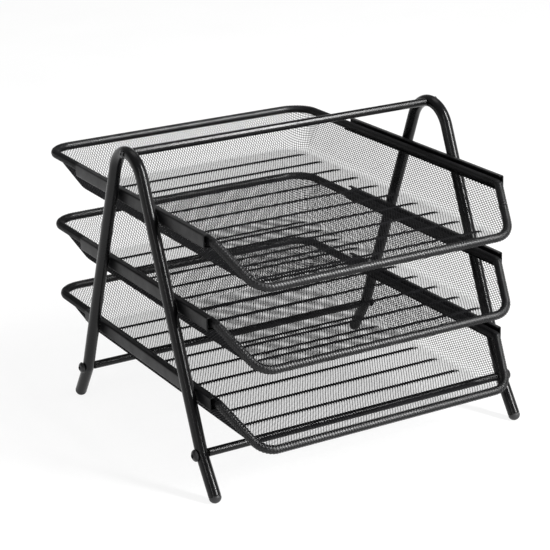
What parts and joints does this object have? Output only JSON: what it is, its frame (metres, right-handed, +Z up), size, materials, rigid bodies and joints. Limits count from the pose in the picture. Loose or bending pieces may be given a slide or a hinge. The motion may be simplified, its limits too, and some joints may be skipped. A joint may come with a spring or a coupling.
{
  "type": "letter tray",
  "caption": "Desk letter tray: wire-mesh trays with a low open front, each sliding forward on channel rails between two bent-tube A-frames.",
  "frame": {"origin": "on the surface it stands on, under the middle of the trays' width and depth", "axes": "+Z up, -Y towards the open front where paper goes in, +X to the right seen from the front"},
  "size_m": [0.2958, 0.348, 0.2488],
  "materials": {
    "frame_steel": "black powder coat, satin",
    "rail_steel": "black powder coat, satin",
    "rim_steel": "black powder coat, satin",
    "mesh_steel": "black powder coat on expanded mesh",
    "plug_plastic": "moulded black",
    "screw_steel": "black coated"
  },
  "bodies": {
    "stand": {"side_frame_left": "frame_steel", "side_frame_right": "frame_steel", "crossbar_top": "frame_steel", "crossbar_front": "frame_steel", "crossbar_rear": "frame_steel", "foot_plug_front_left": "plug_plastic", "foot_plug_front_right": "plug_plastic", "foot_plug_rear_left": "plug_plastic", "foot_plug_rear_right": "plug_plastic", "screw_top_left": "screw_steel", "screw_top_right": "screw_steel", "screw_front_left": "screw_steel", "screw_front_right": "screw_steel", "screw_rear_left": "screw_steel", "screw_rear_right": "screw_steel", "rail_bottom_left": "rail_steel", "rail_bottom_right": "rail_steel", "rail_middle_left": "rail_steel", "rail_middle_right": "rail_steel", "rail_top_left": "rail_steel", "rail_top_right": "rail_steel"},
    "bottom_tray": {"tray_rim_bottom": "rim_steel", "tray_mesh_bottom": "mesh_steel"},
    "middle_tray": {"tray_rim_middle": "rim_steel", "tray_mesh_middle": "mesh_steel"},
    "top_tray": {"tray_rim_top": "rim_steel", "tray_mesh_top": "mesh_steel"}
  },
  "joints": [
    {"name": "bottom_tray_slide", "type": "slide", "parent": "stand", "child": "bottom_tray", "axis": [0, -1, 0], "range_m": [0, 0.2]},
    {"name": "middle_tray_slide", "type": "slide", "parent": "stand", "child": "middle_tray", "axis": [0, -1, 0], "range_m": [0, 0.2]},
    {"name": "top_tray_slide", "type": "slide", "parent": "stand", "child": "top_tray", "axis": [0, -1, 0], "range_m": [0, 0.2]}
  ]
}
